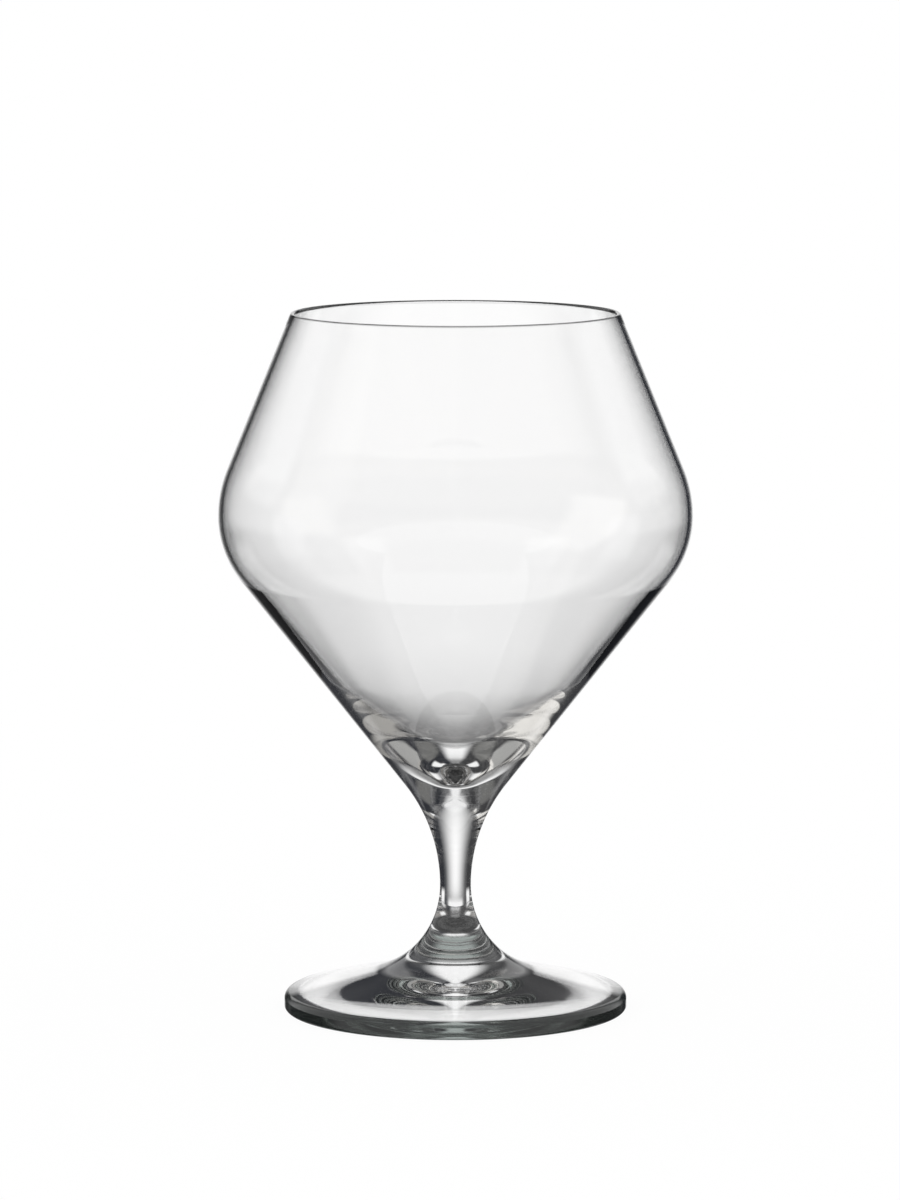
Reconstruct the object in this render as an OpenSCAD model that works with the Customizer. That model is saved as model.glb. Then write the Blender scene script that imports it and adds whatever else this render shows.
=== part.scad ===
// Stemmed beer glass: a thin blown bowl, a short drawn stem and a round foot, fused at two flat seams.
// Millimetres, +Z up. The origin is the centre of the face that the glass stands on.

/* [Bowl] */
// Height of the lip above the table
glass_h = 154; // [148:1:160]
// Outside diameter where the wall meets the lip
rim_d = 72; // [66:1:78]
// Outside diameter at the widest part
belly_d = 104; // [100:1:108]
// Height of the widest part above the table
belly_z = 109.6; // [106:0.2:112]
// Radius of the shoulder above the widest part
shoulder_r = 27; // [22:1:32]
// Radius of the turn below the widest part
turn_r = 22.5; // [18:0.5:26]
// Thickness of the wall from the lip to the turn
wall_t = 1.1; // [0.8:0.1:1.6]
// Lean of the lower inside wall from upright
inside_lean = 40.5; // [40:0.5:42]
// Height of the middle of the inside floor
floor_z = 52.7; // [51.5:0.1:54]
// Radius of the round middle of the inside floor
floor_r = 6; // [4:0.5:8]
// Radius of the wide bend between the lower inside wall and the floor
bend_r = 110; // [95:5:130]

/* [Stem] */
// Diameter at the narrowest part
neck_d = 6.8; // [6:0.2:9]
// Height of the narrowest part
neck_z = 27.6; // [26:0.2:30]
// Radius of the curve from the narrowest part up to the bowl
neck_r = 36.4; // [32:0.2:40]
// How far the bowl's seam lies below the bowl's straight side
bowl_seam_drop = 1.2; // [0.4:0.2:8]
// How far the foot's seam lies below the narrowest part
foot_seam_drop = 4.6; // [1:0.2:10]

/* [Foot] */
// Diameter of the foot
foot_d = 75.6; // [72:0.2:82]
// Height of the upper face at the edge, before the edge is rounded
edge_h = 3.8; // [3.2:0.1:5]
// Slope of the upper face from level
foot_slope = 14; // [10:0.5:17]
// Radius of the upper edge
edge_r = 1.6; // [1:0.1:2]
// Radius of the lower edge
heel_r = 1; // [0.5:0.1:1.2]
// Width of the flat ring that the glass stands on
ring_w = 3; // [2:0.5:8]
// Height of the hollow under the foot, at its middle
hollow_h = 4; // [2:0.1:5]

/* [Hidden] */
$fn = 180;
clear_glass = [0.86, 0.91, 0.92, 0.45];

// Largest gap between an arc and the chords that draw it
arc_gap = 0.01;

// A point on a circle, in the half plane of radius and height
function on_circle(centre, r, angle) = centre + r * [cos(angle), sin(angle)];

// Points along an arc, both ends included
function arc(centre, r, from, to) =
    let (widest_step = 2 * acos(1 - arc_gap / r))
    let (steps = max(2, ceil(abs(to - from) / widest_step)))
    [for (i = [0:steps]) on_circle(centre, r, from + (to - from) * i / steps)];

// Centres of the arcs that shape the bowl and the stem
shoulder_c = [belly_d / 2 - shoulder_r, belly_z];
turn_c = [belly_d / 2 - turn_r, belly_z];
neck_c = [neck_d / 2 + neck_r, neck_z];

// The flare runs from the stem's narrowest part down to the foot's sloping face, on one arc
flare_drop = (neck_z - edge_h) * cos(foot_slope) - (foot_d - neck_d) / 2 * sin(foot_slope);
flare_r = flare_drop / (1 - sin(foot_slope));
flare_c = [neck_d / 2 + flare_r, neck_z];

// The upper wall runs from the lip and touches the shoulder's arc: this is its lean from upright
rim_from_shoulder = [rim_d / 2, glass_h] - shoulder_c;
upper_lean = atan2(rim_from_shoulder.y, rim_from_shoulder.x) - acos(shoulder_r / norm(rim_from_shoulder));

// The lower wall touches the turn's arc on one side and the neck's arc on the other
neck_from_turn = neck_c - turn_c;
lower_lean = -atan2(neck_from_turn.y, neck_from_turn.x)
    - acos((turn_r + neck_r) / norm(neck_from_turn));

// Half-round lip, as thick as the wall
lip_r = wall_t / 2;
lip_down_wall = lip_r * (1 - sin(upper_lean)) / cos(upper_lean);
lip_c = [rim_d / 2, glass_h] + lip_down_wall * [sin(upper_lean), -cos(upper_lean)]
    - lip_r * [cos(upper_lean), sin(upper_lean)];

// The cavity narrows to a blunt point: a wide bend touches the lower inside wall and the round middle
inside_normal = [cos(inside_lean), -sin(inside_lean)];
inside_up = [sin(inside_lean), cos(inside_lean)];
inside_reach = turn_c * inside_normal + turn_r - wall_t;
floor_c = [0, floor_z + floor_r];
floor_gap = inside_reach - floor_c * inside_normal;
bend_up = floor_c * inside_up + sqrt((floor_gap - floor_r) * (2 * bend_r - floor_r - floor_gap));
bend_c = (inside_reach - bend_r) * inside_normal + bend_up * inside_up;
bend_end = atan2(floor_c.y - bend_c.y, floor_c.x - bend_c.x);

// Heights of the two seams, and the places on the neck's and the flare's arcs where they lie
bowl_seam_z = neck_z + neck_r * sin(lower_lean) - bowl_seam_drop;
bowl_seam_angle = 180 - asin((bowl_seam_z - neck_z) / neck_r);
foot_seam_z = neck_z - foot_seam_drop;
foot_seam_angle = 180 + asin(foot_seam_drop / flare_r);

// The foot's edge is rounded above, where the sloping face ends, and below
edge_c = [foot_d / 2 - edge_r, edge_h - edge_r * (1 - sin(foot_slope)) / cos(foot_slope)];
heel_c = [foot_d / 2 - heel_r, heel_r];

// The hollow under the foot is part of a large sphere
hollow_x = heel_c.x - ring_w;
hollow_r = (hollow_x ^ 2 + hollow_h ^ 2) / (2 * hollow_h);
hollow_c = [0, hollow_h - hollow_r];

// Closed outline, turned about the upright axis
module turned(outline) {
    rotate_extrude() polygon(outline);
}

// Blown bowl: solid base, straight sides, rounded belly, half-round lip and the cavity
module bowl() {
    color(clear_glass) turned(concat(
        [[0, bowl_seam_z]],
        arc(neck_c, neck_r, bowl_seam_angle, 180 - lower_lean),
        arc(turn_c, turn_r, -lower_lean, 0),
        arc(shoulder_c, shoulder_r, 0, upper_lean),
        arc(lip_c, lip_r, upper_lean, 90),
        arc(lip_c, lip_r, 90, upper_lean + 180),
        arc(shoulder_c, shoulder_r - wall_t, upper_lean, 0),
        arc(turn_c, turn_r - wall_t, 0, -inside_lean),
        arc(bend_c, bend_r, -inside_lean, bend_end),
        arc(floor_c, floor_r, bend_end, -90)
    ));
}

// Drawn stem: waisted rod between the two seams
module stem() {
    color(clear_glass) turned(concat(
        [[0, foot_seam_z]],
        arc(flare_c, flare_r, foot_seam_angle, 180),
        arc(neck_c, neck_r, 180, bowl_seam_angle),
        [[0, bowl_seam_z]]
    ));
}

// Round foot: boss under the stem, sloping face, rounded edge, resting ring and the hollow beneath
module foot() {
    color(clear_glass) turned(concat(
        arc(hollow_c, hollow_r, 90, acos(hollow_x / hollow_r)),
        arc(heel_c, heel_r, -90, 0),
        arc(edge_c, edge_r, 0, 90 - foot_slope),
        arc(flare_c, flare_r, 270 - foot_slope, foot_seam_angle),
        [[0, foot_seam_z]]
    ));
}

bowl();
stem();
foot();
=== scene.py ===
"""Dresses the stemmed beer glass: three fused pieces of clear glass on a white studio sweep.

Every length is in metres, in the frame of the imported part: +Z up, origin under the middle of the foot.
"""

from __future__ import annotations

import logging
import math
from collections.abc import Sequence
from dataclasses import dataclass
from enum import Enum

import bmesh
import bpy
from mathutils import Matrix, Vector

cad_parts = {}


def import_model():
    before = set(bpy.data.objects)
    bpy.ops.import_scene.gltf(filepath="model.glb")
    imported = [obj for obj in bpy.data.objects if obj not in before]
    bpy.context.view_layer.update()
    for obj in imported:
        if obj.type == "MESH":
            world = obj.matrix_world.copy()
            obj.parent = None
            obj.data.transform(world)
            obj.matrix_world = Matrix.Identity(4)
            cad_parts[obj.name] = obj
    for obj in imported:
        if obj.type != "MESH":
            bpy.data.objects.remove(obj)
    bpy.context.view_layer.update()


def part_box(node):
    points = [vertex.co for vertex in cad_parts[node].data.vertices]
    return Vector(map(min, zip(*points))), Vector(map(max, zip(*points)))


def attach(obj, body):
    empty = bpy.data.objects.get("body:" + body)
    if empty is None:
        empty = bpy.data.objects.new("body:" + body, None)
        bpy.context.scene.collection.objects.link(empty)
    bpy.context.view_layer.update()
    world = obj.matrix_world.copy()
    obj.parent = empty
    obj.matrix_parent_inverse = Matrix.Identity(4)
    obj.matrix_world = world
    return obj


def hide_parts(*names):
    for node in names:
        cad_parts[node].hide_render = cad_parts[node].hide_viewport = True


LOG = logging.getLogger("beer_glass")

Colour = tuple[float, float, float, float]
Ends = tuple[float, float, float, float]
Span = tuple[float, float]
Socket = bpy.types.NodeSocket

BODY = "root"
MM = 0.001

# How finely the turned pieces are cut
ARC_GAP = 0.001 * MM
ARC_STEPS_MIN = 2
LINE_STEP = 3.0 * MM
TURN_STEPS = 288
MERGE = 1e-7

# How far a fused face stays from the seam, and the place of its material on a piece
SEAM_GAP = 0.01 * MM
SEAM_SLOT = 1

SECTION_AXIS = (0.0, -1.0, 0.0)
UPRIGHT = (0.0, 0.0, 1.0)
WHITE = (1.0, 1.0, 1.0, 1.0)

# How often light may turn inside the glass
BOUNCES = 32


class Slot(Enum):
    """The record's material slot that each piece belongs to."""

    BOWL = "bowl_glass"
    STEM = "stem_glass"
    FOOT = "foot_glass"


def section_point(radius: float, height: float) -> Vector:
    """A point of a turned piece's section, which is drawn in the X-Z plane."""
    return Vector((radius, 0.0, height))


class Section:
    """Half of a turned piece's section, drawn as one open line with bmesh operators."""

    def __init__(self, radius: float, height: float) -> None:
        """Starts the line.

        Args:
            radius: Distance of the first point from the upright axis.
            height: Height of the first point.
        """
        self.bm = bmesh.new()
        self.tip = self.bm.verts.new(section_point(radius, height))

    def line_to(self, radius: float, height: float) -> None:
        """Runs the line straight to a point, in steps short enough for a smooth surface.

        Args:
            radius: Distance of the new end from the upright axis.
            height: Height of the new end.
        """
        start = self.tip.co.copy()
        end = section_point(radius, height)
        steps = max(1, math.ceil((end - start).length / LINE_STEP))
        for i in range(1, steps + 1):
            made = bmesh.ops.extrude_vert_indiv(self.bm, verts=[self.tip])
            self.tip = made["verts"][0]
            self.tip.co = start.lerp(end, i / steps)

    def arc(self, centre: Vector, end_angle: float) -> None:
        """Runs the line along an arc from where it is.

        Args:
            centre: Centre of the arc, in the section's plane.
            end_angle: Direction from the centre to the arc's end, anticlockwise from +X, in radians.
        """
        spoke = self.tip.co - centre
        start_angle = math.atan2(spoke.z, spoke.x)
        sweep = end_angle - start_angle
        sweep -= math.tau * round(sweep / math.tau)
        widest_step = 2.0 * math.acos(1.0 - ARC_GAP / spoke.length)
        made = bmesh.ops.spin(
            self.bm,
            geom=[self.tip],
            cent=centre,
            axis=SECTION_AXIS,
            angle=sweep,
            steps=max(ARC_STEPS_MIN, math.ceil(abs(sweep) / widest_step)),
        )
        self.tip = next(part for part in made["geom_last"] if isinstance(part, bmesh.types.BMVert))

    def turned(self, name: str, seams: tuple[float, ...]) -> bpy.types.Object:
        """Turns the section into a closed solid.

        Args:
            name: Name of the new piece.
            seams: Heights of the flat faces that are fused to another piece.

        Returns:
            The new piece, with the seams' faces set to the seam's material.
        """
        bm = self.bm
        bmesh.ops.spin(
            bm,
            geom=bm.verts[:] + bm.edges[:],
            cent=(0.0, 0.0, 0.0),
            axis=UPRIGHT,
            angle=math.tau,
            steps=TURN_STEPS,
            use_merge=True,
        )
        bmesh.ops.remove_doubles(bm, verts=bm.verts[:], dist=MERGE)
        bmesh.ops.recalc_face_normals(bm, faces=bm.faces[:])
        for face in bm.faces:
            face.smooth = True
            heights = [corner.co.z for corner in face.verts]
            if any(max(abs(z - seam) for z in heights) < MERGE for seam in seams):
                face.material_index = SEAM_SLOT
        for edge in bm.edges:
            if len({face.material_index for face in edge.link_faces}) > 1:
                edge.smooth = False
        mesh = bpy.data.meshes.new(name)
        bm.to_mesh(mesh)
        bm.free()
        piece = bpy.data.objects.new(name, mesh)
        bpy.context.scene.collection.objects.link(piece)
        return piece


@dataclass
class Lines:
    """The lines and arcs that the three pieces share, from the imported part's boxes and a few radii.

    Attributes:
        lip_z: Height of the lip.
        belly_r: Radius of the bowl at its widest.
        bowl_seam_z: Height of the seam between the bowl and the stem.
        foot_seam_z: Height of the seam between the stem and the foot.
        foot_r: Radius of the foot.
        rim_r: Radius of the outside at the lip's height, before the lip is rounded.
        belly_z: Height of the bowl's widest part.
        shoulder_r: Radius of the arc above the widest part.
        turn_r: Radius of the arc below it.
        wall_t: Thickness of the thin wall.
        inside_lean: Lean of the lower inside wall from upright.
        floor_z: Height of the inside floor.
        floor_r: Radius of the floor's round middle.
        bend_r: Radius of the wide bend from the floor to the lower inside wall.
        neck_r: Radius of the stem at its narrowest.
        neck_z: Height of its narrowest part.
        neck_arc_r: Radius of the arc from there up to the bowl.
        edge_h: Height of the foot's edge, before it is rounded.
        foot_slope: Slope of the foot's upper face.
        edge_r: Radius of the edge's upper rounding.
        heel_r: Radius of its lower rounding.
        ring_w: Width of the flat ring that the foot stands on.
        hollow_h: Height of the hollow under the foot.
    """

    lip_z: float
    belly_r: float
    bowl_seam_z: float
    foot_seam_z: float
    foot_r: float
    rim_r: float = 36.0 * MM
    belly_z: float = 109.6 * MM
    shoulder_r: float = 27.0 * MM
    turn_r: float = 22.5 * MM
    wall_t: float = 1.1 * MM
    inside_lean: float = math.radians(40.5)
    floor_z: float = 52.7 * MM
    floor_r: float = 6.0 * MM
    bend_r: float = 110.0 * MM
    neck_r: float = 3.4 * MM
    neck_z: float = 27.6 * MM
    neck_arc_r: float = 36.4 * MM
    edge_h: float = 3.8 * MM
    foot_slope: float = math.radians(14.0)
    edge_r: float = 1.6 * MM
    heel_r: float = 1.0 * MM
    ring_w: float = 3.0 * MM
    hollow_h: float = 4.0 * MM

    @classmethod
    def from_frame(cls) -> Lines:
        """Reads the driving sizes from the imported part's boxes.

        Returns:
            The shared lines of this glass.
        """
        _, bowl_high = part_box("bowl")
        stem_low, stem_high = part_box("stem")
        _, foot_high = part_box("foot")
        return cls(
            lip_z=bowl_high.z,
            belly_r=bowl_high.x,
            bowl_seam_z=stem_high.z,
            foot_seam_z=stem_low.z,
            foot_r=foot_high.x,
        )

    @property
    def shoulder_c(self) -> Vector:
        """Centre of the shoulder's arc."""
        return section_point(self.belly_r - self.shoulder_r, self.belly_z)

    @property
    def turn_c(self) -> Vector:
        """Centre of the arc below the widest part."""
        return section_point(self.belly_r - self.turn_r, self.belly_z)

    @property
    def neck_c(self) -> Vector:
        """Centre of the arc from the stem's narrowest part up to the bowl."""
        return section_point(self.neck_r + self.neck_arc_r, self.neck_z)

    @property
    def flare_r(self) -> float:
        """Radius of the arc from the stem's narrowest part down to the foot's sloping face."""
        rise = (self.neck_z - self.edge_h) * math.cos(self.foot_slope)
        run = (self.foot_r - self.neck_r) * math.sin(self.foot_slope)
        return (rise - run) / (1.0 - math.sin(self.foot_slope))

    @property
    def flare_c(self) -> Vector:
        """Centre of the flare's arc."""
        return section_point(self.neck_r + self.flare_r, self.neck_z)

    @property
    def upper_lean(self) -> float:
        """Lean of the upper wall from upright: it touches the shoulder's arc."""
        spoke = section_point(self.rim_r, self.lip_z) - self.shoulder_c
        return math.atan2(spoke.z, spoke.x) - math.acos(self.shoulder_r / spoke.length)

    @property
    def lower_lean(self) -> float:
        """Lean of the lower wall from upright: it touches the turn's arc and the neck's arc."""
        span = self.neck_c - self.turn_c
        reach = (self.turn_r + self.neck_arc_r) / span.length
        return -math.atan2(span.z, span.x) - math.acos(reach)

    @property
    def lip_c(self) -> Vector:
        """Centre of the half-round lip."""
        lean = self.upper_lean
        half_t = self.wall_t / 2.0
        down_wall = half_t * (1.0 - math.sin(lean)) / math.cos(lean)
        outer = section_point(
            self.rim_r + down_wall * math.sin(lean),
            self.lip_z - down_wall * math.cos(lean),
        )
        return outer - half_t * section_point(math.cos(lean), math.sin(lean))

    @property
    def floor_c(self) -> Vector:
        """Centre of the round middle of the inside floor."""
        return section_point(0.0, self.floor_z + self.floor_r)

    @property
    def inside_normal(self) -> Vector:
        """Direction in which the lower inside wall faces the glass."""
        return section_point(math.cos(self.inside_lean), -math.sin(self.inside_lean))

    @property
    def bend_c(self) -> Vector:
        """Centre of the wide bend that touches the lower inside wall and the floor's round middle."""
        normal = self.inside_normal
        along = section_point(math.sin(self.inside_lean), math.cos(self.inside_lean))
        reach = self.turn_c.dot(normal) + self.turn_r - self.wall_t
        gap = reach - self.floor_c.dot(normal)
        rise = math.sqrt((gap - self.floor_r) * (2.0 * self.bend_r - self.floor_r - gap))
        return (reach - self.bend_r) * normal + (self.floor_c.dot(along) + rise) * along

    def neck_at(self, height: float) -> tuple[float, float]:
        """The neck's arc at a height.

        Args:
            height: Height above the table.

        Returns:
            Radius there, and the direction from the arc's centre in radians.
        """
        angle = math.pi - math.asin((height - self.neck_z) / self.neck_arc_r)
        return self.neck_c.x + self.neck_arc_r * math.cos(angle), angle

    def flare_at(self, height: float) -> tuple[float, float]:
        """The flare's arc at a height.

        Args:
            height: Height above the table.

        Returns:
            Radius there, and the direction from the arc's centre in radians.
        """
        angle = math.pi + math.asin((self.neck_z - height) / self.flare_r)
        return self.flare_c.x + self.flare_r * math.cos(angle), angle


class Wiring:
    """Short ways to add and link nodes in one shader tree."""

    def __init__(self, tree: bpy.types.NodeTree) -> None:
        """Takes the tree that the nodes go into."""
        self.tree = tree

    def node(self, kind: str) -> bpy.types.Node:
        """Adds a node of a kind."""
        return self.tree.nodes.new(kind)

    def feed(self, socket: Socket, value: float | Sequence[float] | Socket) -> None:
        """Sets an input to a number or a colour, or links another node's output to it.

        Args:
            socket: The input.
            value: The number or colour, or the output to link.
        """
        if isinstance(value, Socket):
            self.tree.links.new(value, socket)
        else:
            socket.default_value = value

    def math(self, operation: str, first: float | Socket, second: float | Socket = 0.0) -> Socket:
        """Adds a Math node.

        Args:
            operation: The node's operation.
            first: Its first value.
            second: Its second value, where it has one.

        Returns:
            The node's output.
        """
        node = self.node("ShaderNodeMath")
        node.operation = operation
        self.feed(node.inputs[0], first)
        self.feed(node.inputs[1], second)
        return node.outputs[0]

    def ease(self, value: Socket, span: Span, ends: Span = (0.0, 1.0)) -> Socket:
        """Eases from one number to another while a value crosses a span.

        Args:
            value: The value that is read.
            span: Where the change starts and where it is over.
            ends: The numbers before and after it.

        Returns:
            The eased number.
        """
        node = self.node("ShaderNodeMapRange")
        node.interpolation_type = "SMOOTHSTEP"
        self.feed(node.inputs["Value"], value)
        sockets = ("From Min", "From Max", "To Min", "To Max")
        for socket, number in zip(sockets, span + ends):
            node.inputs[socket].default_value = number
        return node.outputs["Result"]

    def band(self, value: Socket, ends: Ends) -> Socket:
        """Masks a band of a value.

        Args:
            value: The value that is read.
            ends: Where the band starts and is full, then where it begins to end and is over.

        Returns:
            The mask, 1 within the band.
        """
        start, full, last, over = ends
        return self.both(self.ease(value, (start, full)), self.ease(value, (over, last)))

    def both(self, first: Socket, second: Socket) -> Socket:
        """Where two masks hold at once, or the product of two numbers."""
        return self.math("MULTIPLY", first, second)

    def noise(self, place: Socket, scale: float | Socket, detail: float) -> Socket:
        """Adds a Noise Texture.

        Args:
            place: The coordinates that it is drawn on.
            scale: How fine it is, per metre.
            detail: How many finer layers it has.

        Returns:
            The noise's level.
        """
        node = self.node("ShaderNodeTexNoise")
        node.inputs["Detail"].default_value = detail
        self.feed(node.inputs["Vector"], place)
        self.feed(node.inputs["Scale"], scale)
        return node.outputs[0]

    def blend(
        self,
        share: float | Socket,
        first: Sequence[float] | Socket,
        second: Sequence[float] | Socket,
    ) -> Socket:
        """Mixes two colours.

        Args:
            share: Share of the second colour.
            first: The first colour.
            second: The second colour.

        Returns:
            The mixed colour.
        """
        node = self.node("ShaderNodeMix")
        node.data_type = "RGBA"
        factor, _, _, _, _, _, colour_a, colour_b = node.inputs[:8]
        self.feed(factor, share)
        self.feed(colour_a, first)
        self.feed(colour_b, second)
        _, _, mixed = node.outputs[:3]
        return mixed

    def mix_shader(self, share: float | Socket, first: Socket, second: Socket) -> Socket:
        """Mixes two shaders.

        Args:
            share: Share of the second shader.
            first: The first shader.
            second: The second shader.

        Returns:
            The mixed shader.
        """
        node = self.node("ShaderNodeMixShader")
        self.feed(node.inputs[0], share)
        self.feed(node.inputs[1], first)
        self.feed(node.inputs[2], second)
        return node.outputs[0]


class Detail(Enum):
    """Inputs and outputs of the surface detail that all three pieces share."""

    POLISH = "Polish"
    HAZE = "Haze"
    WEAR = "Wear"
    RIPPLE_SCALE = "Ripple Scale"
    ROUGHNESS = "Roughness"
    RIPPLE = "Ripple"


@dataclass(frozen=True)
class GlassSurface:
    """What a clear glass surface carries: slight ripples, faint hazy spots and a worn underside.

    Attributes:
        haze_scale: Hazy spots per metre.
        haze_detail: Finer layers in the haze.
        haze_span: Noise levels between which a spot starts and is full.
        scratch_scale: Scratches per metre on the worn underside.
        scratch_detail: Finer layers in the scratches.
        worn_height: Heights between which the wear ends.
        ripple_detail: Finer layers in the ripples.
    """

    haze_scale: float = 55.0
    haze_detail: float = 3.0
    haze_span: Span = (0.5, 0.75)
    scratch_scale: float = 900.0
    scratch_detail: float = 2.0
    worn_height: Span = (0.15 * MM, 0.6 * MM)
    ripple_detail: float = 1.0

    def group(self) -> bpy.types.NodeTree:
        """Builds the shared node group.

        Returns:
            The group, which puts out a roughness and a ripple height.
        """
        tree = bpy.data.node_groups.new("glass_surface", "ShaderNodeTree")
        for socket in (Detail.POLISH, Detail.HAZE, Detail.WEAR, Detail.RIPPLE_SCALE):
            tree.interface.new_socket(socket.value, in_out="INPUT", socket_type="NodeSocketFloat")
        for socket in (Detail.ROUGHNESS, Detail.RIPPLE):
            tree.interface.new_socket(socket.value, in_out="OUTPUT", socket_type="NodeSocketFloat")
        wiring = Wiring(tree)
        given = wiring.node("NodeGroupInput").outputs
        place = wiring.node("ShaderNodeTexCoord").outputs["Object"]
        split = wiring.node("ShaderNodeSeparateXYZ")
        wiring.feed(split.inputs[0], place)
        cloud = wiring.noise(place, self.haze_scale, self.haze_detail)
        haze = wiring.both(wiring.ease(cloud, self.haze_span), given[Detail.HAZE.value])
        scratches = wiring.noise(place, self.scratch_scale, self.scratch_detail)
        worn = wiring.both(wiring.ease(split.outputs["Z"], self.worn_height, (1.0, 0.0)), scratches)
        wear = wiring.both(worn, given[Detail.WEAR.value])
        rough = wiring.math("ADD", wiring.math("ADD", haze, wear), given[Detail.POLISH.value])
        put_out = wiring.node("NodeGroupOutput").inputs
        wiring.feed(put_out[Detail.ROUGHNESS.value], rough)
        ripple = wiring.noise(place, given[Detail.RIPPLE_SCALE.value], self.ripple_detail)
        wiring.feed(put_out[Detail.RIPPLE.value], ripple)
        return tree


@dataclass(frozen=True)
class EdgeTintAndShade:
    """The grey-green of a thick glass edge, darkened to paint the shade that the edge shows.

    Attributes:
        colour: Colour of the glass at the edge: its own green, darkened as painted shade.
        span: Distances from the upright axis between which the green and the painted shade come in.
    """

    # Green of thick glass, darkened as painted shade for the edge's dark band
    colour: Colour = (0.1, 0.125, 0.115, 1.0)
    span: Span = (35.6 * MM, 37.4 * MM)

    def tint_and_shade(self, wiring: Wiring) -> Socket:
        """Colours a piece by the distance from its axis, with painted shade towards the edge.

        Args:
            wiring: The material's nodes.

        Returns:
            The colour over the surface.
        """
        split = wiring.node("ShaderNodeSeparateXYZ")
        wiring.feed(split.inputs[0], wiring.node("ShaderNodeTexCoord").outputs["Object"])
        across, away, _ = split.outputs
        squares = wiring.math("ADD", wiring.both(across, across), wiring.both(away, away))
        return wiring.blend(wiring.ease(wiring.math("SQRT", squares), self.span), WHITE, self.colour)


@dataclass(frozen=True)
class GlassFinish:
    """A clear glass.

    Attributes:
        name: Name of the material.
        polish: Roughness of the clean surface.
        ripple_scale: Ripples per metre.
        ripple_depth: Depth of the ripples.
        haze: Roughness that a hazy spot adds.
        wear: Roughness that the worn underside adds.
        edge: Green of a thick edge with painted shade, where the piece has one.
        index: How strongly the glass bends light.
    """

    name: str
    polish: float
    ripple_scale: float
    ripple_depth: float = 0.0008 * MM
    haze: float = 0.02
    wear: float = 0.0
    edge: EdgeTintAndShade | None = None
    index: float = 1.52

    def material(self, surface: bpy.types.NodeTree) -> bpy.types.Material:
        """Builds the material.

        Args:
            surface: The shared surface detail.

        Returns:
            The new material.
        """
        made = bpy.data.materials.new(self.name)
        made.use_nodes = True
        wiring = Wiring(made.node_tree)
        shader = made.node_tree.nodes["Principled BSDF"]
        shader.inputs["IOR"].default_value = self.index
        shader.inputs["Transmission Weight"].default_value = 1.0
        # A thick edge gets its green and its painted shade in the base colour
        wiring.feed(shader.inputs["Base Color"], self.edge.tint_and_shade(wiring) if self.edge else WHITE)
        detail = wiring.node("ShaderNodeGroup")
        detail.node_tree = surface
        detail.inputs[Detail.POLISH.value].default_value = self.polish
        detail.inputs[Detail.HAZE.value].default_value = self.haze
        detail.inputs[Detail.WEAR.value].default_value = self.wear
        detail.inputs[Detail.RIPPLE_SCALE.value].default_value = self.ripple_scale
        wiring.feed(shader.inputs["Roughness"], detail.outputs[Detail.ROUGHNESS.value])
        bump = wiring.node("ShaderNodeBump")
        bump.inputs["Distance"].default_value = self.ripple_depth
        wiring.feed(bump.inputs["Height"], detail.outputs[Detail.RIPPLE.value])
        wiring.feed(shader.inputs["Normal"], bump.outputs["Normal"])
        return made


BLOWN = GlassFinish("blown_clear_glass", polish=0.005, ripple_scale=60.0)
DRAWN = GlassFinish("drawn_clear_glass", polish=0.005, ripple_scale=90.0)
# The foot's edge is green and darkened as painted shade
PRESSED = GlassFinish("pressed_clear_glass", polish=0.02, ripple_scale=90.0, wear=0.15, edge=EdgeTintAndShade())


def fused_seam() -> bpy.types.Material:
    """The inner face of a seam, where melted glass has no surface left.

    Returns:
        A material that light passes through unbent.
    """
    made = bpy.data.materials.new("fused_seam")
    made.use_nodes = True
    made.node_tree.nodes["Principled BSDF"].inputs["Alpha"].default_value = 0.0
    return made


@dataclass
class GlassPiece:
    """One turned piece of the glass.

    Attributes:
        lines: The lines that the pieces share.
        finish: The piece's glass.
        surface: The surface detail that the pieces share.
        seam: Material of its fused faces.
    """

    lines: Lines
    finish: GlassFinish
    surface: bpy.types.NodeTree
    seam: bpy.types.Material

    name = ""
    node = ""
    slot = Slot.BOWL

    def section(self) -> Section:
        """Draws half of the piece's section."""
        raise NotImplementedError

    def seams(self) -> tuple[float, ...]:
        """Heights of the faces that are fused to another piece."""
        raise NotImplementedError

    def build(self) -> bpy.types.Object:
        """Makes the piece, dresses it and sets it on the part.

        Returns:
            The finished piece.
        """
        piece = self.section().turned(self.name, self.seams())
        piece.data.materials.append(self.finish.material(self.surface))
        piece.data.materials.append(self.seam)
        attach(piece, BODY)
        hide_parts(self.node)
        return piece


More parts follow.
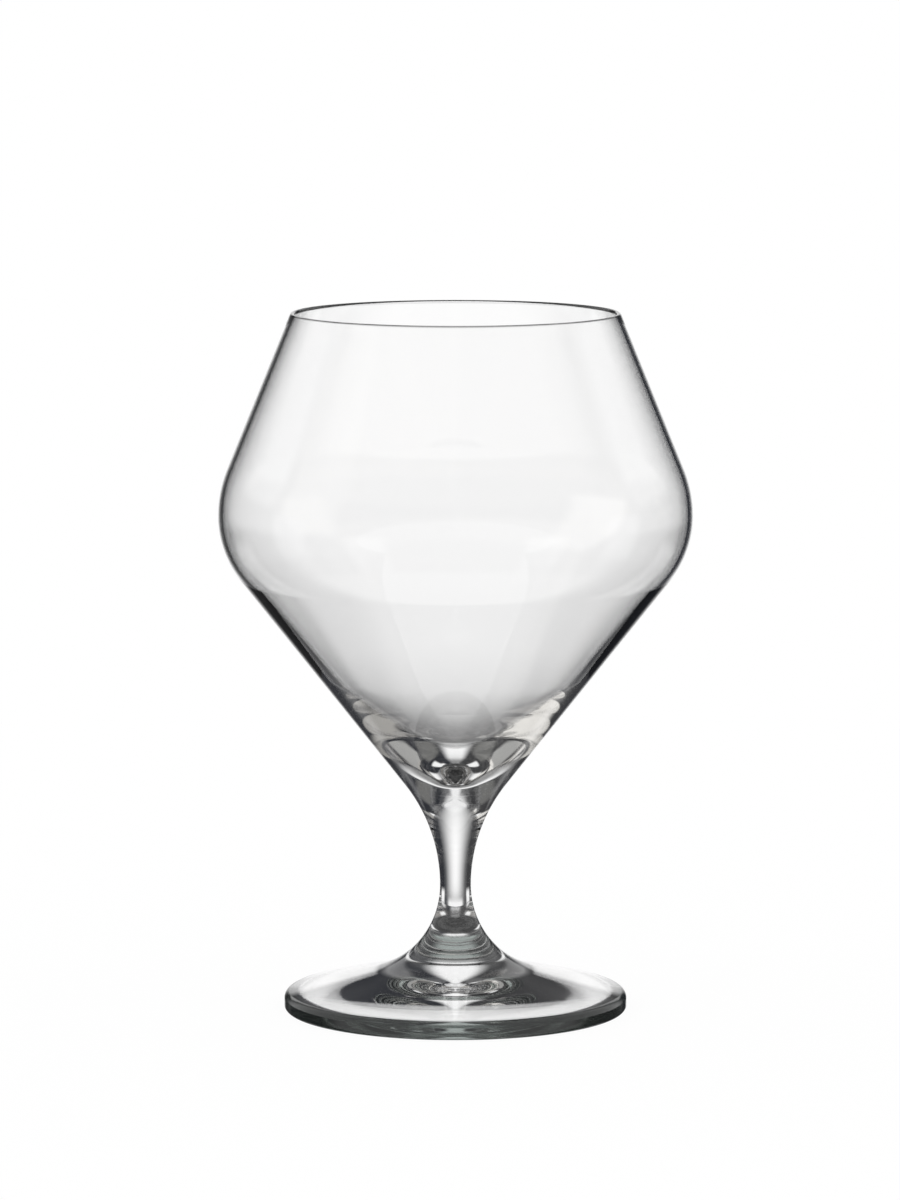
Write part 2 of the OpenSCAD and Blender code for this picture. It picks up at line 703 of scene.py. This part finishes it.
class Bowl(GlassPiece):
    """The blown bowl with its lip, its thin wall and its solid base."""

    name = "blown_bowl"
    node = "bowl"
    slot = Slot.BOWL

    def seams(self) -> tuple[float, ...]:
        """Height of the seam to the stem."""
        return (self.lines.bowl_seam_z + SEAM_GAP,)

    def section(self) -> Section:
        """Draws the outside from the seam up to the lip, then the inside down to the floor.

        Returns:
            The bowl's section.
        """
        at = self.lines
        (seam_z,) = self.seams()
        seam_r, _ = at.neck_at(seam_z)
        upper = at.upper_lean
        lower = at.lower_lean
        half_t = at.wall_t / 2.0
        line = Section(0.0, seam_z)
        line.line_to(seam_r, seam_z)
        line.arc(at.neck_c, math.pi - lower)
        side_top = at.turn_c + at.turn_r * section_point(math.cos(lower), -math.sin(lower))
        line.line_to(side_top.x, side_top.z)
        line.arc(at.turn_c, 0.0)
        line.arc(at.shoulder_c, upper)
        lip_outer = at.lip_c + half_t * section_point(math.cos(upper), math.sin(upper))
        line.line_to(lip_outer.x, lip_outer.z)
        line.arc(at.lip_c, math.pi / 2.0)
        line.arc(at.lip_c, upper + math.pi)
        inner_shoulder_r = at.shoulder_r - at.wall_t
        shoulder_top = at.shoulder_c + inner_shoulder_r * section_point(math.cos(upper), math.sin(upper))
        line.line_to(shoulder_top.x, shoulder_top.z)
        line.arc(at.shoulder_c, 0.0)
        line.arc(at.turn_c, -at.inside_lean)
        bend_top = at.bend_c + at.bend_r * at.inside_normal
        line.line_to(bend_top.x, bend_top.z)
        to_floor = at.floor_c - at.bend_c
        line.arc(at.bend_c, math.atan2(to_floor.z, to_floor.x))
        line.arc(at.floor_c, -math.pi / 2.0)
        return line


class Stem(GlassPiece):
    """The short waisted stem."""

    name = "drawn_stem"
    node = "stem"
    slot = Slot.STEM

    def seams(self) -> tuple[float, ...]:
        """Heights of the seams to the foot and to the bowl."""
        return (self.lines.foot_seam_z + SEAM_GAP, self.lines.bowl_seam_z - SEAM_GAP)

    def section(self) -> Section:
        """Draws the waisted rod from the foot's seam up to the bowl's.

        Returns:
            The stem's section.
        """
        at = self.lines
        low_z, high_z = self.seams()
        low_r, _ = at.flare_at(low_z)
        _, high_angle = at.neck_at(high_z)
        line = Section(0.0, low_z)
        line.line_to(low_r, low_z)
        line.arc(at.flare_c, math.pi)
        line.arc(at.neck_c, high_angle)
        line.line_to(0.0, high_z)
        return line


class Foot(GlassPiece):
    """The round foot with the boss that runs up into the stem."""

    name = "flared_foot"
    node = "foot"
    slot = Slot.FOOT

    def seams(self) -> tuple[float, ...]:
        """Height of the seam to the stem."""
        return (self.lines.foot_seam_z - SEAM_GAP,)

    def section(self) -> Section:
        """Draws the hollow underside, the edge and the upper face up to the seam.

        Returns:
            The foot's section.
        """
        at = self.lines
        (seam_z,) = self.seams()
        _, seam_angle = at.flare_at(seam_z)
        slope = at.foot_slope
        heel_c = section_point(at.foot_r - at.heel_r, at.heel_r)
        drop = at.edge_r * (1.0 - math.sin(slope)) / math.cos(slope)
        edge_c = section_point(at.foot_r - at.edge_r, at.edge_h - drop)
        hollow_x = heel_c.x - at.ring_w
        hollow_r = (hollow_x**2 + at.hollow_h**2) / (2.0 * at.hollow_h)
        line = Section(0.0, at.hollow_h)
        line.arc(section_point(0.0, at.hollow_h - hollow_r), math.acos(hollow_x / hollow_r))
        line.line_to(heel_c.x, 0.0)
        line.arc(heel_c, 0.0)
        line.line_to(at.foot_r, edge_c.z)
        line.arc(edge_c, math.pi / 2.0 - slope)
        slope_top = at.flare_c + at.flare_r * section_point(-math.sin(slope), -math.cos(slope))
        line.line_to(slope_top.x, slope_top.z)
        line.arc(at.flare_c, seam_angle)
        line.line_to(0.0, seam_z)
        return line


@dataclass(frozen=True)
class Viewpoint:
    """The photograph's camera, fitted to the glass's outline.

    Attributes:
        place: Where the camera stands.
        pitch: How far it looks down, in radians.
        lens_mm: Focal length on the sensor.
        sensor_mm: Long side of the sensor.
    """

    place: tuple[float, float, float] = (-1.2 * MM, -1364.1 * MM, 262.65 * MM)
    pitch: float = math.radians(7.178)
    lens_mm: float = 188.1
    sensor_mm: float = 36.0

    def build(self) -> None:
        """Makes the camera and gives it to the scene."""
        data = bpy.data.cameras.new("camera")
        data.lens = self.lens_mm
        data.sensor_width = self.sensor_mm
        camera = bpy.data.objects.new("camera", data)
        camera.location = self.place
        camera.rotation_euler = (math.pi / 2.0 - self.pitch, 0.0, 0.0)
        bpy.context.scene.collection.objects.link(camera)
        bpy.context.scene.camera = camera


class Side(Enum):
    """Which way round from the window behind the glass a part of the studio stands."""

    LEFT = "left"
    RIGHT = "right"
    BOTH = "both"


class Depth(Enum):
    """Ray depth of light that reaches the studio: one more than the times that it turned at the glass.

    Attributes:
        SOLID: Light that went straight through solid glass.
        NEAR_WALL: Light that turned back once inside the near wall.
        BASE: Light that went through the base and the cavity.
        FAR_WALL: Light that turned back at the far wall.
        INNER: Light that turned back twice inside the base.
    """

    SOLID = 3.0
    NEAR_WALL = 4.0
    BASE = 5.0
    FAR_WALL = 6.0
    INNER = 7.0


@dataclass(frozen=True)
class Light:
    """The light that reaches the studio's walls, read in the world's nodes.

    Attributes:
        turns: How far round its direction points on each side, in degrees.
        rise: How far up it points, in degrees.
        depth: Its ray depth.
    """

    turns: dict[Side, Socket]
    rise: Socket
    depth: Socket


@dataclass(frozen=True)
class Patch:
    """A part of the studio that covers what is behind it.

    Attributes:
        colour: Colour of the patch.
        side: The side that it stands on.
        turn: Round directions between which it starts, then those between which it ends.
        rise: Upward directions between which it starts, then those between which it ends.
        depth: The only light that sees it, or None for all light.
    """

    colour: Colour
    side: Side
    turn: Ends
    rise: Ends
    depth: Depth | None = None

    def cover(self, wiring: Wiring, light: Light, behind: Socket) -> Socket:
        """Lays the patch over a colour.

        Args:
            wiring: The world's nodes.
            light: The light that sees the patch.
            behind: The colour behind the patch.

        Returns:
            The colour with the patch.
        """
        along = wiring.band(light.turns[self.side], self.turn)
        share = wiring.both(along, wiring.band(light.rise, self.rise))
        if self.depth is not None:
            share = wiring.both(share, wiring.math("COMPARE", light.depth, self.depth.value))
        return wiring.blend(share, behind, self.colour)


def covered(wiring: Wiring, light: Light, patches: Sequence[Patch], behind: Socket) -> Socket:
    """Lays patches over a colour, one after the other.

    Args:
        wiring: The world's nodes.
        light: The light that sees the patches.
        patches: The patches, the nearest last.
        behind: The colour behind them.

    Returns:
        The colour with the patches.
    """
    for patch in patches:
        behind = patch.cover(wiring, light, behind)
    return behind


def grey(level: float) -> Colour:
    """A neutral colour of a level."""
    return (level, level, level, 1.0)


# Straight up, in degrees from level
STRAIGHT_UP = 90.0

# Ends of a patch that goes on past the top, the bottom or the middle, or right round
PAST_TOP = (91.0, 92.0)
PAST_BOTTOM = (-92.0, -91.0)
FROM_MIDDLE = (-2.0, -1.0)
RIGHT_ROUND = (181.0, 182.0)

# Colours that the studio has more than once
DARK = (0.04, 0.04, 0.042, 1.0)
BLACK_CLOTH = (0.05, 0.05, 0.052, 1.0)


@dataclass(frozen=True)
class Room:
    """The studio as the glass shows it: a white window behind it, dark flags beside that, and soft boxes.

    Directions are in degrees: round from the middle of the window, and up from level.

    Attributes:
        left_flag: Colour of the dark flag on the left.
        right_flag: Colour of the dark flag on the right.
        flag_change: Round directions between which one flag takes over from the other.
        solid_window: Angles from its middle between which the window fades, straight through solid glass.
        wall_window: The same through the thin wall.
        skyline: Rising directions with the window's level at each, eased in between.
        boxes: Soft boxes, tables and walls that the glass passes on, the later ones in front.
        mirrored: What the outside of the glass mirrors, the later ones in front.
        ceiling: The white ceiling.
        screens: Pale screens, each seen only by light that took one way through the glass.
        doors: White openings across the room, for looking through the glass from other sides.
        door_depth: Ray depth up to which light sees the doors.
    """

    left_flag: Colour = BLACK_CLOTH
    right_flag: Colour = (0.03, 0.032, 0.038, 1.0)
    flag_change: Span = (-12.0, 12.0)
    solid_window: Span = (0.0, 32.0)
    wall_window: Span = (6.0, 17.0)
    skyline: tuple[tuple[float, float], ...] = ((-90.0, 0.35), (-37.0, 0.29), (-5.0, 1.0), (76.0, 0.9))
    boxes: tuple[Patch, ...] = (
        # The pale floor to the sides and behind the camera, and the grey skirting above it
        Patch(
            colour=(0.8, 0.79, 0.78, 1.0),
            side=Side.BOTH,
            turn=(70.0, 100.0, *RIGHT_ROUND),
            rise=(*PAST_BOTTOM, -46.0, -34.0),
        ),
        Patch(
            colour=(0.22, 0.21, 0.2, 1.0),
            side=Side.BOTH,
            turn=(95.0, 112.0, *RIGHT_ROUND),
            rise=(-46.0, -34.0, -24.0, -15.0),
        ),
        # The upper wall behind the camera, lighter on the left
        Patch(
            colour=(0.42, 0.41, 0.39, 1.0),
            side=Side.LEFT,
            turn=(92.0, 106.0, *RIGHT_ROUND),
            rise=(20.0, 30.0, 50.0, 58.0),
        ),
        Patch(
            colour=(0.28, 0.27, 0.26, 1.0),
            side=Side.RIGHT,
            turn=(92.0, 106.0, *RIGHT_ROUND),
            rise=(20.0, 30.0, 50.0, 58.0),
        ),
        # The tall soft box on the left and the dim one on the right
        Patch(
            colour=(0.88, 0.86, 0.82, 1.0),
            side=Side.LEFT,
            turn=(80.0, 88.0, 114.0, 124.0),
            rise=(-10.0, -2.0, 44.0, 54.0),
        ),
        Patch(
            colour=(0.4, 0.39, 0.37, 1.0),
            side=Side.RIGHT,
            turn=(78.0, 86.0, 104.0, 114.0),
            rise=(-10.0, -2.0, 22.0, 32.0),
        ),
        # The low pale table on the right
        Patch(
            colour=(0.85, 0.84, 0.83, 1.0),
            side=Side.RIGHT,
            turn=(24.0, 34.0, 50.0, 60.0),
            rise=(-54.0, -47.0, -38.0, -31.0),
        ),
    )
    mirrored: tuple[Patch, ...] = (
        # A white room
        Patch(
            colour=grey(0.95),
            side=Side.BOTH,
            turn=(24.0, 44.0, *RIGHT_ROUND),
            rise=(*PAST_BOTTOM, *PAST_TOP),
        ),
        # Two dark tables on each side, one lower than the other
        Patch(
            colour=DARK,
            side=Side.BOTH,
            turn=(20.0, 36.0, 78.0, 100.0),
            rise=(-34.0, -26.0, -10.0, -4.0),
        ),
        Patch(
            colour=DARK,
            side=Side.BOTH,
            turn=(36.0, 48.0, 80.0, 100.0),
            rise=(-70.0, -58.0, -30.0, -24.0),
        ),
        # White panels beside a dark bar across the window
        Patch(
            colour=grey(0.95),
            side=Side.BOTH,
            turn=(9.0, 13.0, 22.0, 30.0),
            rise=(12.0, 17.0, 38.0, 46.0),
        ),
        Patch(
            colour=BLACK_CLOTH,
            side=Side.BOTH,
            turn=(*FROM_MIDDLE, 8.0, 13.0),
            rise=(11.0, 16.0, 38.0, 46.0),
        ),
    )
    ceiling: Patch = Patch(
        colour=grey(0.88),
        side=Side.BOTH,
        turn=(*FROM_MIDDLE, *RIGHT_ROUND),
        rise=(66.0, 76.0, *PAST_TOP),
    )
    screens: tuple[Patch, ...] = (
        # Screens to the sides, raised for the near wall and lowered for the far wall
        Patch(
            colour=grey(0.9),
            side=Side.BOTH,
            turn=(38.0, 52.0, 74.0, 86.0),
            rise=(4.0, 12.0, 46.0, 56.0),
            depth=Depth.NEAR_WALL,
        ),
        Patch(
            colour=grey(0.9),
            side=Side.BOTH,
            turn=(38.0, 52.0, 74.0, 86.0),
            rise=(-50.0, -42.0, -22.0, -14.0),
            depth=Depth.FAR_WALL,
        ),
        # The pale table under the window, for the lip
        Patch(
            colour=grey(0.95),
            side=Side.BOTH,
            turn=(*FROM_MIDDLE, 14.0, 24.0),
            rise=(*PAST_BOTTOM, -26.0, -18.0),
            depth=Depth.SOLID,
        ),
        # Faint glows to the sides, for the solid base
        Patch(
            colour=(0.17, 0.17, 0.165, 1.0),
            side=Side.BOTH,
            turn=(12.0, 22.0, 40.0, 52.0),
            rise=(-8.0, -2.0, 16.0, 24.0),
            depth=Depth.BASE,
        ),
        Patch(
            colour=(0.4, 0.4, 0.39, 1.0),
            side=Side.BOTH,
            turn=(52.0, 62.0, 88.0, 98.0),
            rise=(-8.0, -2.0, 16.0, 24.0),
            depth=Depth.INNER,
        ),
    )
    doors: tuple[Patch, ...] = (
        # At 45, 90 and 135 degrees round
        Patch(
            colour=WHITE,
            side=Side.BOTH,
            turn=(31.0, 39.0, 51.0, 59.0),
            rise=(-75.0, -32.0, -18.0, -11.0),
        ),
        Patch(
            colour=WHITE,
            side=Side.BOTH,
            turn=(76.0, 84.0, 96.0, 104.0),
            rise=(-50.0, -9.0, 2.0, 7.0),
        ),
        Patch(
            colour=WHITE,
            side=Side.BOTH,
            turn=(121.0, 129.0, 141.0, 149.0),
            rise=(-65.0, -22.0, -8.0, -1.0),
        ),
    )
    door_depth: float = 5.5

    def build(self) -> None:
        """Makes the room, which is plain white to the camera and to the floor."""
        world = bpy.data.worlds.new("studio")
        bpy.context.scene.world = world
        world.use_nodes = True
        wiring = Wiring(world.node_tree)
        coords = wiring.node("ShaderNodeTexCoord")
        split = wiring.node("ShaderNodeSeparateXYZ")
        wiring.feed(split.inputs[0], coords.outputs["Generated"])
        across, away, up = split.outputs
        turn = wiring.math("DEGREES", wiring.math("ARCTAN2", across, away))
        rise = wiring.math("DEGREES", wiring.math("ARCSINE", up))
        turns = {
            Side.LEFT: wiring.math("MULTIPLY", turn, -1.0),
            Side.RIGHT: turn,
            Side.BOTH: wiring.math("ABSOLUTE", turn),
        }
        path = wiring.node("ShaderNodeLightPath")
        depth = path.outputs["Ray Depth"]
        light = Light(turns, rise, depth)
        flags = wiring.blend(wiring.ease(turn, self.flag_change), self.left_flag, self.right_flag)
        window = self.window(wiring, rise)
        off = turns[Side.BOTH]
        through_wall = wiring.blend(wiring.ease(off, self.wall_window), window, flags)
        through_wall = covered(wiring, light, self.boxes, through_wall)
        through_solid = wiring.blend(wiring.ease(off, self.solid_window), window, flags)
        is_solid = wiring.math("COMPARE", depth, Depth.SOLID.value)
        seen = wiring.blend(is_solid, through_wall, through_solid)
        seen = covered(wiring, light, (self.ceiling, *self.screens), seen)
        sees_doors = wiring.math("LESS_THAN", depth, self.door_depth)
        seen = wiring.blend(sees_doors, seen, covered(wiring, light, self.doors, seen))
        mirrored = covered(wiring, light, self.mirrored, through_wall)
        colour = wiring.blend(path.outputs["Is Reflection Ray"], seen, mirrored)
        glass = wiring.math("MAXIMUM", path.outputs["Is Glossy Ray"], path.outputs["Is Transmission Ray"])
        background = world.node_tree.nodes["Background"]
        wiring.feed(background.inputs["Color"], wiring.blend(glass, WHITE, colour))

    def window(self, wiring: Wiring, rise: Socket) -> Socket:
        """Shades the window by how far up it is.

        Args:
            wiring: The world's nodes.
            rise: How far up a direction points, in degrees.

        Returns:
            The window's colour.
        """
        ramp = wiring.node("ShaderNodeValToRGB")
        ramp.color_ramp.interpolation = "EASE"
        stops = ramp.color_ramp.elements
        stops.remove(stops[1])
        full_range = 2.0 * STRAIGHT_UP
        for i, (angle, level) in enumerate(self.skyline):
            place = (angle + STRAIGHT_UP) / full_range
            stop = stops.new(place) if i else stops[0]
            stop.position = place
            stop.color = grey(level)
        from_bottom = wiring.math("ADD", rise, STRAIGHT_UP)
        wiring.feed(ramp.inputs["Fac"], wiring.math("DIVIDE", from_bottom, full_range))
        return ramp.outputs["Color"]


@dataclass(frozen=True)
class Floor:
    """White floor under the glass, with painted shade under the foot for light that comes through the
    glass.

    Attributes:
        radius: Radius of the floor.
        segments: Sides of its outline.
        drop: How far it lies under the foot, so that the faces don't meet.
        shadow: Share of the glass's shadow that shows on it.
        painted_contact_shade: Level of the painted shade on the floor right under the foot, as the glass
            shows it.
        painted_shade_span: Distances from the middle between which that painted shade ends.
        shade_fade_slant: How flat a ray runs, from 0 upright to 1 level, where the painted shade starts
            to fade and where it is gone.
    """

    radius: float = 450.0 * MM
    segments: int = 96
    drop: float = 0.05 * MM
    shadow: float = 0.05
    # Painted shade: the floor right under the foot as light through the glass sees it
    painted_contact_shade: float = 0.02
    painted_shade_span: Span = (30.0 * MM, 36.0 * MM)
    shade_fade_slant: Span = (0.3, 0.43)

    def build(self) -> bpy.types.Object:
        """Makes the white floor.

        Returns:
            The floor.
        """
        bm = bmesh.new()
        bmesh.ops.create_circle(bm, cap_ends=True, radius=self.radius, segments=self.segments)
        bmesh.ops.translate(bm, vec=(0.0, 0.0, -self.drop), verts=bm.verts[:])
        mesh = bpy.data.meshes.new("white_floor")
        bm.to_mesh(mesh)
        bm.free()
        floor = bpy.data.objects.new("white_floor", mesh)
        bpy.context.scene.collection.objects.link(floor)
        mesh.materials.append(self.paint())
        return floor

    def paint(self) -> bpy.types.Material:
        """Paints the floor white, with a faint shadow for the camera and painted shade under the foot for
        the glass.

        Returns:
            The floor's material.
        """
        made = bpy.data.materials.new("white_floor")
        made.use_nodes = True
        wiring = Wiring(made.node_tree)
        nodes = made.node_tree.nodes
        matt = nodes["Principled BSDF"]
        matt.inputs["Base Color"].default_value = WHITE
        matt.inputs["Roughness"].default_value = 1.0
        matt.inputs["Specular IOR Level"].default_value = 0.0
        white = wiring.node("ShaderNodeEmission")
        seen = wiring.mix_shader(self.shadow, white.outputs[0], matt.outputs[0])
        # Painted shade under the foot, seen only by light through the glass
        painted_contact_shade = wiring.node("ShaderNodeEmission")
        painted_contact_shade.inputs["Strength"].default_value = self.painted_contact_shade
        place = wiring.node("ShaderNodeTexCoord")
        reach = wiring.node("ShaderNodeVectorMath")
        reach.operation = "LENGTH"
        wiring.feed(reach.inputs[0], place.outputs["Object"])
        clear = wiring.node("ShaderNodeBsdfTransparent")
        slant = wiring.node("ShaderNodeLayerWeight")
        # The painted shade fades out for rays that run flat
        shade_fade = wiring.ease(slant.outputs["Facing"], self.shade_fade_slant)
        ends = wiring.math("MAXIMUM", shade_fade, wiring.ease(reach.outputs["Value"], self.painted_shade_span))
        through = wiring.mix_shader(ends, painted_contact_shade.outputs[0], clear.outputs[0])
        path = wiring.node("ShaderNodeLightPath")
        surface = wiring.mix_shader(path.outputs["Is Camera Ray"], through, seen)
        wiring.feed(nodes["Material Output"].inputs["Surface"], surface)
        return made


def allow_bounces(count: int) -> None:
    """Lets light turn often enough inside the solid base and foot.

    Args:
        count: How often light may turn.
    """
    cycles = bpy.context.scene.cycles
    cycles.max_bounces = count
    cycles.transmission_bounces = count
    cycles.glossy_bounces = count


def main() -> None:
    """Builds the glass, the studio and the camera."""
    logging.basicConfig(level=logging.INFO, format="%(name)s: %(message)s")
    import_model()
    lines = Lines.from_frame()
    seam = fused_seam()
    surface = GlassSurface().group()
    Viewpoint().build()
    pieces = (
        Bowl(lines, BLOWN, surface, seam).build(),
        Stem(lines, DRAWN, surface, seam).build(),
        Foot(lines, PRESSED, surface, seam).build(),
        Floor().build(),
    )
    for piece in pieces:
        LOG.info("%s: %d faces", piece.name, len(piece.data.polygons))
    Room().build()
    allow_bounces(BOUNCES)
    bpy.context.scene.view_settings.view_transform = "Standard"


if __name__ == "__main__":
    main()
